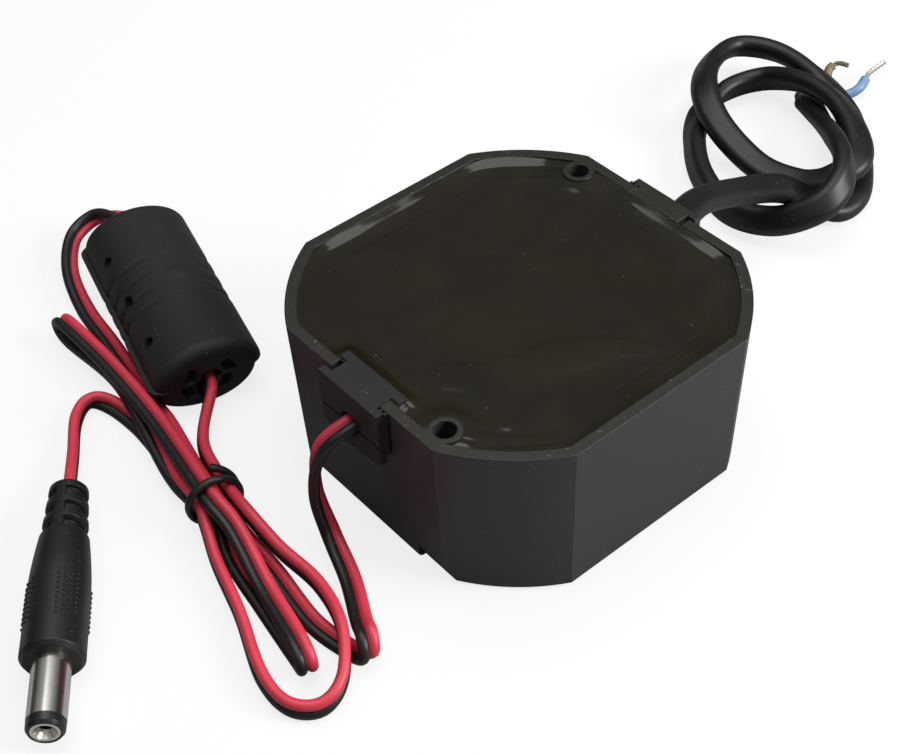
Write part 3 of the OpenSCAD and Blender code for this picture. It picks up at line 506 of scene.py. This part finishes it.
def chokeSkin(x, turn, upper, facts):
    # how far the surface lies below the plain shell: valleys between ribs, gate mark and mould line
    low = 0
    for at, left, right in zip(facts["grooveAt"], facts["leftEnds"], facts["rightEnds"]):
        fade = 1
        if upper:
            fade = max(clamp((left - turn) / facts["fade"]), clamp((turn - right) / facts["fade"]))
        away = abs(x - at) / facts["grooveWidth"]
        low += facts["grooveDepth"] * fade * math.exp(-away ** facts["grooveEase"])
    if upper:
        gate, seam = facts["gate"], facts["seam"]
        away = math.hypot(x - gate["x"], math.radians(turn - gate["turn"]) * facts["radius"])
        lumps = abs(noise.noise(Vector((x * gate["grain"][0], turn * gate["grain"][1], 2.0))))
        low -= gate["rise"] * (gate["plain"] + gate["rough"] * lumps) * math.exp(-(away / gate["size"]) ** 2)
        ends = clamp(x - seam["from"]) * clamp(seam["to"] - x)
        away = math.radians(turn - seam["turn"]) * facts["radius"] / seam["width"]
        low -= seam["rise"] * ends * math.exp(-away ** 2)
    return low


def chokeEnd(r, turn, facts):
    # depth of the end face: two pockets beside the hub, divided by the joint
    margin = facts["pocketMargin"]
    angle = min(turn - margin, 180 - margin - turn, abs(turn - 90) - facts["pocketBridge"])
    edge = max(0, angle) * r * math.pi / 180
    inside = min(r - facts["hub"], facts["pocket"] - r, edge)
    return facts["pocketDepth"] * clamp(inside / facts["pocketEase"])


def chokeOutline(facts):
    # places along a shell's outside from end to end: x, and how far the end's rounding brings it in
    half, e, corners, count = facts["length"] / 2, facts["round"], facts["cornerSteps"], facts["sideSteps"]
    turns = [math.pi / 2 * (1 - k / corners) for k in range(corners + 1)]
    corner = [(half - e + e * math.sin(a), e - e * math.cos(a)) for a in turns]
    side = [((half - e) * (1 - 2 * k / count), 0) for k in range(1, count)]
    return corner + side + [(-x, deep) for x, deep in corner[::-1]]


def chokeInside(facts):
    # places along its cavity: x and radius
    room, core, narrow = facts["roomHalf"], facts["coreHalf"], facts["roomRadius"]
    half = [(core, facts["coreRadius"]), (core, narrow), (room, narrow), (room, facts["bore"])]
    return [(-x, r) for x, r in half[::-1]] + half


def makeChokeShell(name, node, upper, facts):
    half, e, wide, bore = facts["length"] / 2, facts["round"], facts["radius"], facts["bore"]
    high = facts["upperHeight"] if upper else facts["lowerHeight"]
    shift = 0 if upper else facts["lowerShift"]
    bearing = math.radians(facts["turn"])
    along, across = (math.cos(bearing), math.sin(bearing)), (-math.sin(bearing), math.cos(bearing))
    outline, inner = chokeOutline(facts), chokeInside(facts)

    def put(x, y, z):
        return (facts["at"][0] + along[0] * x + across[0] * (y + shift),
                facts["at"][1] + along[1] * x + across[1] * (y + shift), facts["at"][2] + z)

    start, stop = (facts["gap"], 180 - facts["gap"]) if upper else (180, 360)
    angles = [start + (stop - start) * k / facts["turnSteps"] for k in range(facts["turnSteps"] + 1)]
    if upper:
        angles = sorted(angles + [facts["seam"]["turn"] + d for d in facts["seam"]["beside"]])
    points = []
    for angle in angles:
        c, z = math.cos(math.radians(angle)), math.sin(math.radians(angle))
        mouth = bore + (0 if upper else facts["exit"] * max(0, -z) ** facts["exitEase"])
        rim = Vector(((wide - e) * c, (high - e) * z))
        end = []
        for k in range(facts["faceSteps"]):
            place = Vector((mouth * c, mouth * z)).lerp(rim, k / facts["faceSteps"])
            end.append((half - chokeEnd(place.length, angle % 180, facts), *place))
        ring = list(end)
        for x, deep in outline:
            low = deep + chokeSkin(x, angle, upper, facts)
            ring.append((x, (wide - low) * c, (high - low) * z))
        ring += [(-x, *place) for x, *place in end[::-1]]
        for x, r in inner:
            reach = max(r, mouth) if r == bore else r
            ring.append((x, reach * c, reach * z))
        points += [put(*place) for place in ring]
    n = len(points) // len(angles)
    faces = [(i * n + k, (i + 1) * n + k, (i + 1) * n + (k + 1) % n, i * n + (k + 1) % n)
             for i in range(len(angles) - 1) for k in range(n)]
    first, last = capFaces(0, len(angles), n)
    made = newPiece(name, np.array(points) * mm, faces + [first[::-1], last[::-1]])
    cutters = []
    if upper:
        lean = math.radians(facts["pitTurn"])
        out = Vector((across[0] * math.cos(lean), across[1] * math.cos(lean), math.sin(lean)))
        for x in facts["pits"]:
            foot = Vector(put(x, wide * math.cos(lean), high * math.sin(lean))) - out * facts["pitDepth"]
            cutters.append(roundCutter(foot, out, facts["pitRadius"], facts["pitReach"]))
    cutAway(made, cutters, facts["sharp"])
    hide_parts(node)
    return made


chokeUpper = makeChokeShell("chokeUpper", "ferrite_case_upper", True, chokeFacts)
chokeLower = makeChokeShell("chokeLower", "ferrite_case_lower", False, chokeFacts)
print("choke shells moulded")

# Barrel plug's grip dots

plugFacts = {
    "start": (-62.5, 32, 4.6), "bearing": -124.8, "neck": 3.7, "swellFrom": 10, "swellOver": 10.5,
    "swell": 0.8, "flareFrom": 20.5, "flareOver": 10, "flare": 0.1,
    "fields": (150, 60, -30, 240), "columns": 4, "columnStep": 11.5, "rows": 9, "firstRow": 19.0,
    "rowStep": 0.86, "dot": 0.27, "dotSides": 8, "dotLevels": 3, "sink": 0.06,
}


def plugSkin(t, facts):
    # radius of the moulding t mm from the lead's end
    share = clamp((t - facts["swellFrom"]) / facts["swellOver"])
    flare = clamp((t - facts["flareFrom"]) / facts["flareOver"])
    return facts["neck"] + facts["swell"] * math.sin(math.pi / 2 * share) + facts["flare"] * flare


def makeGripDots(facts):
    bearing = math.radians(facts["bearing"])
    forward = Vector((math.cos(bearing), math.sin(bearing), 0))
    aside, up = Vector((-math.sin(bearing), math.cos(bearing), 0)), Vector((0, 0, 1))
    sides, levels = facts["dotSides"], facts["dotLevels"]
    places = [(field, column, row) for field in facts["fields"] for column in range(facts["columns"])
              for row in range(facts["rows"])]
    points, faces = [], []
    for field, column, row in places:
        t = facts["firstRow"] + (row + 0.5 * (column % 2)) * facts["rowStep"]
        angle = math.radians(field + (column - (facts["columns"] - 1) / 2) * facts["columnStep"])
        out = math.cos(angle) * aside + math.sin(angle) * up
        centre = Vector(facts["start"]) + forward * t + out * (plugSkin(t, facts) - facts["sink"])
        across = out.cross(forward)
        start = len(points)
        for level in range(levels):
            lift = math.pi / 2 * level / levels
            flat = facts["dot"] * math.cos(lift)
            for s in range(sides):
                a = math.tau * s / sides
                points.append(centre + forward * flat * math.cos(a) + across * flat * math.sin(a)
                              + out * facts["dot"] * math.sin(lift))
        points.append(centre + out * facts["dot"])
        top = start + (levels - 1) * sides
        faces += bandFaces(start, levels, sides)
        faces += [(top + s, top + (s + 1) % sides, top + sides) for s in range(sides)]
        faces.append(capFaces(start, levels, sides)[0])
    made = newPiece("plugGripDots", np.array(points) * mm, faces)
    return made


plugGripDots = makeGripDots(plugFacts)
print("plug dressed")

# Shader tools


class Value:
    # one value on its way through a material; each operator adds its Math node
    def __init__(self, paint, socket):
        self.paint, self.socket = paint, socket

    def math(self, operation, other):
        return self.paint.node("Math", {"operation": operation}, {0: self, 1: other})

    def __add__(self, other):
        return self.math("ADD", other)

    def __sub__(self, other):
        return self.math("SUBTRACT", other)

    def __mul__(self, other):
        return self.math("MULTIPLY", other)

    __radd__, __rmul__ = __add__, __mul__


class Paint:
    # one material; node() makes every node, the other calls are shorthand for it
    def __init__(self, name, ior=1.45, metallic=0.0):
        self.material = bpy.data.materials.new(name)
        self.material.use_nodes = True
        self.tree = self.material.node_tree
        self.shader = self.tree.nodes["Principled BSDF"]
        self.shader.inputs["IOR"].default_value = ior
        self.shader.inputs["Metallic"].default_value = metallic
        self.place = self.node("TexCoord", out="Object")

    def node(self, kind, settings=None, sockets=None, out=0):
        made = self.tree.nodes.new("ShaderNode" + kind)
        for key, value in (settings or {}).items():
            setattr(made, key, value)
        for key, value in (sockets or {}).items():
            self.put(made.inputs[key], value)
        return Value(self, made.outputs[out])

    def put(self, socket, value):
        if isinstance(value, Value):
            self.tree.links.new(value.socket, socket)
        elif isinstance(value, tuple) and len(value) == 3 and socket.type == "RGBA":
            socket.default_value = (*value, 1)
        else:
            socket.default_value = value

    def set(self, **values):
        names = {"colour": "Base Color", "roughness": "Roughness", "normal": "Normal"}
        for key, value in values.items():
            self.put(self.shader.inputs[names[key]], value)
        return self

    def grain(self, size, detail=2.0, roughness=0.5, distortion=0.0, at=None):
        # noise whose lumps are about size mm across
        return self.node("TexNoise", None, {
            "Vector": at or self.place, "Scale": 1 / (size * mm), "Detail": detail,
            "Roughness": roughness, "Distortion": distortion})

    def ease(self, value, low, high):
        return self.node("MapRange", {"interpolation_type": "SMOOTHSTEP"},
                         {"Value": value, "From Min": low, "From Max": high})

    def mix(self, mask, first, second):
        return self.node("Mix", {"data_type": "RGBA"}, {0: mask, 6: first, 7: second}, out=2)

    def drift(self, mask, colour, shares):
        # a colour that drifts between two shares of itself
        darker, lighter = (tuple(c * share for c in colour) for share in shares)
        return self.mix(mask, darker, lighter)

    def bevel(self, radius):
        return self.node("Bevel", {"samples": 6}, {"Radius": radius * mm})

    def bump(self, height, depth, strength=1.0, normal=None):
        sockets = {"Height": height, "Distance": depth * mm, "Strength": strength}
        if normal:
            sockets["Normal"] = normal
        return self.node("Bump", None, sockets)


def wear(piece, *paints):
    # gives a piece its materials; the sides keep their numbers
    marks = [side.material_index for side in piece.data.polygons]
    piece.data.materials.clear()
    for paint in paints:
        piece.data.materials.append(paint.material)
    if len(paints) > 1:
        piece.data.polygons.foreach_set("material_index", marks)


# Box

caseFacts = {
    "ior": 1.5, "colour": (0.031, 0.030, 0.032), "drift": (0.8, 1.15), "driftSize": 9,
    "rim": 28.2, "rimBand": (0.25, 0.02), "rimColour": (0.0125, 0.0122, 0.0085),
    "nick": (0.3, 0.3, 0.28), "nickSize": 0.9, "nickSpan": (0.66, 0.7), "nickBand": (1.2, 0.1),
    "nickShare": 0.3, "dustSize": 0.5, "dustSpan": (0.74, 0.77), "dustShare": 0.16,
    "texture": 0.35, "textureDepth": 0.02, "edge": 0.22, "rough": 0.44, "roughDrift": 0.12, "rimGloss": 0.1,
}


def casePaint(facts):
    paint = Paint("boxPlastic", facts["ior"])
    height = paint.node("SeparateXYZ", None, {"Vector": paint.place}, out="Z")
    top, upper = (paint.ease(height, (facts["rim"] - low) * mm, (facts["rim"] - high) * mm)
                  for low, high in (facts["rimBand"], facts["nickBand"]))
    broad = paint.grain(facts["driftSize"], 3)
    nicks = paint.ease(paint.grain(facts["nickSize"], 3, 0.7), *facts["nickSpan"]) * upper
    dust = paint.ease(paint.grain(facts["dustSize"], 1), *facts["dustSpan"])
    shade = paint.drift(broad, facts["colour"], facts["drift"])
    shade = paint.mix(top, shade, facts["rimColour"])
    shade = paint.mix(nicks * facts["nickShare"] + dust * facts["dustShare"], shade, facts["nick"])
    fine = paint.grain(facts["texture"], 2, 0.6)
    skin = paint.bump(fine, facts["textureDepth"], 0.5, paint.bevel(facts["edge"]))
    dull = facts["rough"] + facts["roughDrift"] * broad - facts["rimGloss"] * top
    return paint.set(colour=shade, roughness=dull, normal=skin)


boxPaint = casePaint(caseFacts)
for piece in (nodes["enclosure_shell"], mainsEntryUpper):
    wear(piece, boxPaint)

# Resin

resinPaintFacts = {
    "ior": 1.42, "colour": (0.0095, 0.0076, 0.0026), "cloud": (0.0145, 0.0120, 0.0060), "cloudSize": 14,
    "cloudSpan": (0.35, 0.7), "speck": (0.16, 0.15, 0.11), "speckSize": 0.9, "speckSpan": (0.8, 0.82),
    "speckShare": 0.4, "rough": 0.09, "dullRough": 0.1, "dullSize": 5, "dullSpan": (0.45, 0.75),
    "wave": 6, "waveDepth": 0.06,
}


def resinPaint(facts):
    paint = Paint("pottingResin", facts["ior"])
    cloud = paint.ease(paint.grain(facts["cloudSize"], 3, 0.5, 0.6), *facts["cloudSpan"])
    specks = paint.ease(paint.grain(facts["speckSize"], 1), *facts["speckSpan"])
    shade = paint.mix(cloud, facts["colour"], facts["cloud"])
    shade = paint.mix(specks * facts["speckShare"], shade, facts["speck"])
    dull = paint.ease(paint.grain(facts["dullSize"], 3, 0.6), *facts["dullSpan"])
    skin = paint.bump(paint.grain(facts["wave"], 2, 0.5, 0.4), facts["waveDepth"], 0.5)
    return paint.set(colour=shade, roughness=facts["rough"] + facts["dullRough"] * dull, normal=skin)


wear(pottingSurface, resinPaint(resinPaintFacts))

# Plain moulded plastics: entries, choke case, plug and tie

plasticFacts = {"ior": 1.48, "drift": (0.82, 1.2), "driftSize": 7, "speck": (0.28, 0.28, 0.26),
                "speckSize": 0.45, "speckSpan": (0.75, 0.78), "speckShare": 0.3, "smoother": 0.05,
                "roughDrift": 0.12}


def plasticPaint(name, colour, roughness, texture=0.3, depth=0.01, edge=0.15, facts=plasticFacts):
    paint = Paint(name, facts["ior"])
    broad = paint.grain(facts["driftSize"], 3)
    specks = paint.ease(paint.grain(facts["speckSize"], 1), *facts["speckSpan"]) * facts["speckShare"]
    shade = paint.mix(specks, paint.drift(broad, colour, facts["drift"]), facts["speck"])
    normal = paint.bevel(edge) if edge else None
    skin = paint.bump(paint.grain(texture, 2, 0.6), depth, 0.5, normal)
    dull = roughness - facts["smoother"] + facts["roughDrift"] * broad
    return paint.set(colour=shade, roughness=dull, normal=skin)


entryPaint = plasticPaint("entryPlastic", (0.007, 0.0066, 0.0062), 0.54, depth=0.012)
for name in ("dc_entry_upper", "dc_entry_lower", "mains_entry_lower"):
    wear(nodes[name], entryPaint)
chokePaint = plasticPaint("chokePlastic", (0.0082, 0.0081, 0.0074), 0.62, texture=0.25, edge=0.3)
for piece in (chokeUpper, chokeLower):
    wear(piece, chokePaint)
plugPaint = plasticPaint("plugPlastic", (0.0085, 0.0085, 0.0083), 0.4, texture=0.25, depth=0.008, edge=0.25)
for piece in (nodes["plug_moulding"], plugGripDots):
    wear(piece, plugPaint)
wear(nodes["plug_insulator"], plasticPaint("tipPlastic", (0.012, 0.012, 0.012), 0.3, 0.4, 0.004, 0.1))
wear(wireTie, plasticPaint("tieCoat", (0.016, 0.016, 0.017), 0.38, edge=0))

# Leads

sheathFacts = {"ior": 1.5, "drift": (0.88, 1.1), "driftSize": 6, "dust": (0.5, 0.48, 0.45), "dustSize": 0.4,
               "dustSpan": (0.75, 0.79), "dustShare": 0.25, "smoother": 0.04, "markRough": 0.1}


def sheathPaint(name, colour, roughness, ring=1.3, depth=0.02, facts=sheathFacts):
    # extruded vinyl: faint surface marks, slow colour drift and a little dust
    paint = Paint(name, facts["ior"])
    marks = paint.grain(ring, 2, 0.6)
    dust = paint.ease(paint.grain(facts["dustSize"], 1), *facts["dustSpan"]) * facts["dustShare"]
    shade = paint.drift(paint.grain(facts["driftSize"]), colour, facts["drift"])
    shade = paint.mix(dust, shade, facts["dust"])
    dull = roughness - facts["smoother"] + facts["markRough"] * marks
    return paint.set(colour=shade, roughness=dull, normal=paint.bump(marks, depth, 0.6))


wear(dcLead, sheathPaint("redSheath", (0.70, 0.045, 0.08), 0.44),
     sheathPaint("blackSheath", (0.011, 0.009, 0.0085), 0.42))
wear(mainsLead, sheathPaint("mainsSheath", (0.0048, 0.0048, 0.0045), 0.44, ring=2.5, depth=0.03))
wear(brownCore, sheathPaint("brownSheath", (0.22, 0.165, 0.085), 0.4))
wear(blueCore, sheathPaint("blueSheath", (0.19, 0.32, 0.52), 0.4))

# Metals

metalFacts = {"ior": 1.45, "drift": (0.9, 1), "driftSize": 3, "scratch": 0.25, "stretch": (1, 1, 6),
              "scratchRough": 0.12, "scratchDepth": 0.003}


def metalPaint(name, colour, roughness, facts=metalFacts):
    paint = Paint(name, facts["ior"], 1.0)
    shade = paint.drift(paint.grain(facts["driftSize"], 3), colour, facts["drift"])
    drawn = paint.node("VectorMath", {"operation": "MULTIPLY"}, {0: paint.place, 1: facts["stretch"]})
    lines = paint.grain(facts["scratch"], 3, 0.7, at=drawn)
    return paint.set(colour=shade, roughness=roughness + facts["scratchRough"] * lines,
                     normal=paint.bump(lines, facts["scratchDepth"], 0.4))


wear(nodes["plug_sleeve"], metalPaint("nickelPlate", (0.72, 0.70, 0.66), 0.16))
wear(nodes["plug_contact"], metalPaint("contactMetal", (0.78, 0.75, 0.68), 0.2))
wear(blueStrands, metalPaint("tinnedCopper", (0.75, 0.72, 0.68), 0.4))
wear(brownStrands, metalPaint("dullCopper", (0.3, 0.28, 0.2), 0.5))

# What the resin and the choke's case hide

hiddenColours = {
    "board": ((0.05, 0.16, 0.05), ("circuit_board",)),
    "ferrite": ((0.06, 0.06, 0.065), ("transformer_core_upper", "transformer_core_lower",
                                      "line_choke_core", "output_choke_core", "ferrite_core_upper",
                                      "ferrite_core_lower")),
    "bobbin": ((0.012, 0.012, 0.013), ("transformer_bobbin",)),
    "tape": ((0.6, 0.4, 0.04), ("transformer_winding",)),
    "copper": ((0.55, 0.2, 0.07), ("line_choke_winding", "output_choke_winding")),
    "sleeveBlue": ((0.02, 0.04, 0.09), ("bulk_capacitor_a", "bulk_capacitor_b")),
    "sleeveGrey": ((0.03, 0.03, 0.035), ("output_capacitor_a", "output_capacitor_b")),
    "yellowBox": ((0.6, 0.5, 0.08), ("interference_capacitor",)),
    "blueDisc": ((0.05, 0.15, 0.35), ("barrier_capacitor",)),
    "packageBlack": ((0.013, 0.013, 0.013), ("bridge_rectifier", "controller_chip", "output_diode")),
    "packageWhite": ((0.7, 0.69, 0.65), ("optocoupler",)),
    "greenBody": ((0.18, 0.34, 0.13), ("fusible_resistor",)),
}
for name, (colour, held) in hiddenColours.items():
    paint = plasticPaint(name, colour, 0.45, texture=0.4, edge=0)
    for node in held:
        wear(nodes[node], paint)
print("materials applied")

# The pieces that go with the DC lead, and both leads' centre lines scaled to metres

dcPieces = [nodes[name] for name in ("ferrite_core_upper", "ferrite_core_lower", "plug_moulding",
                                     "plug_sleeve", "plug_insulator", "plug_contact")]
dcPieces += [chokeUpper, chokeLower, plugGripDots, wireTie]


dcLine * mm
mainsLine * mm

# Floor, sky and lamps

stageFacts = {
    "floorHalf": 3, "floorSeen": 0.9, "floorHidden": 0.25, "floorMirrored": 0.4, "floorGlow": 0.8,
    "floorRough": 0.85, "grainRough": 0.1, "grain": 30,
    "skyLow": 0.03, "skyHigh": 0.42, "skyFrom": 0.2, "skyTo": 0.95,
    "lamps": (
        ("overhead", (0.05, 0.05, 0.62), (0, 0, 0), 0.5, 2.0),
        ("rightSide", (0.36, -0.46, 0.36), (0, 0, 0.01), 0.3, 4.2),
    ),
}


def makeFloor(facts):
    # white to the camera; darker in mirrored and scattered light, as the photograph's surroundings were
    h = facts["floorHalf"]
    made = newPiece("floor", [(-h, -h, 0), (h, -h, 0), (h, h, 0), (-h, h, 0)], [(0, 1, 2, 3)], False)
    paint = Paint("floorWhite")
    seen = paint.node("LightPath", out="Is Camera Ray")
    mirrored = paint.node("LightPath", out="Is Glossy Ray")
    hidden, shown, gloss = ((facts[key],) * 3 for key in ("floorHidden", "floorSeen", "floorMirrored"))
    tone = paint.mix(seen, paint.mix(mirrored, hidden, gloss), shown)
    paint.set(colour=tone, roughness=facts["floorRough"] + facts["grainRough"] * paint.grain(facts["grain"]))
    glow = paint.node("Emission", None, {"Color": (1.0, 1.0, 1.0), "Strength": 1.0})
    plain = Value(paint, paint.shader.outputs[0])
    both = paint.node("MixShader", None, {0: seen * facts["floorGlow"], 1: plain, 2: glow})
    paint.put(paint.tree.nodes["Material Output"].inputs["Surface"], both)
    wear(made, paint)


def makeSky(facts):
    # grey overhead and dark low down, which is what the flat resin mirrors
    world = bpy.data.worlds.new("studio")
    bpy.context.scene.world = world
    world.use_nodes = True
    tree = world.node_tree
    light = tree.nodes["Background"]
    place = tree.nodes.new("ShaderNodeTexCoord")
    split = tree.nodes.new("ShaderNodeSeparateXYZ")
    ramp = tree.nodes.new("ShaderNodeMapRange")
    ramp.interpolation_type = "SMOOTHSTEP"
    for socket, key in (("From Min", "skyFrom"), ("From Max", "skyTo"),
                        ("To Min", "skyLow"), ("To Max", "skyHigh")):
        ramp.inputs[socket].default_value = facts[key]
    light.inputs["Color"].default_value = (1, 1, 1, 1)
    tree.links.new(place.outputs["Generated"], split.inputs[0])
    tree.links.new(split.outputs["Z"], ramp.inputs["Value"])
    tree.links.new(ramp.outputs[0], light.inputs["Strength"])


def makeLamps(facts):
    for name, spot, aim, size, power in facts["lamps"]:
        data = bpy.data.lights.new(name, "AREA")
        data.shape, data.size, data.energy = "SQUARE", size, power
        lamp = bpy.data.objects.new(name, data)
        bpy.context.scene.collection.objects.link(lamp)
        lamp.location = spot
        lamp.rotation_euler = (Vector(aim) - Vector(spot)).to_track_quat("-Z", "Y").to_euler()


makeFloor(stageFacts)
makeSky(stageFacts)
makeLamps(stageFacts)
bpy.context.scene.view_settings.view_transform = "Standard"
print("floor, sky and lamps in place")
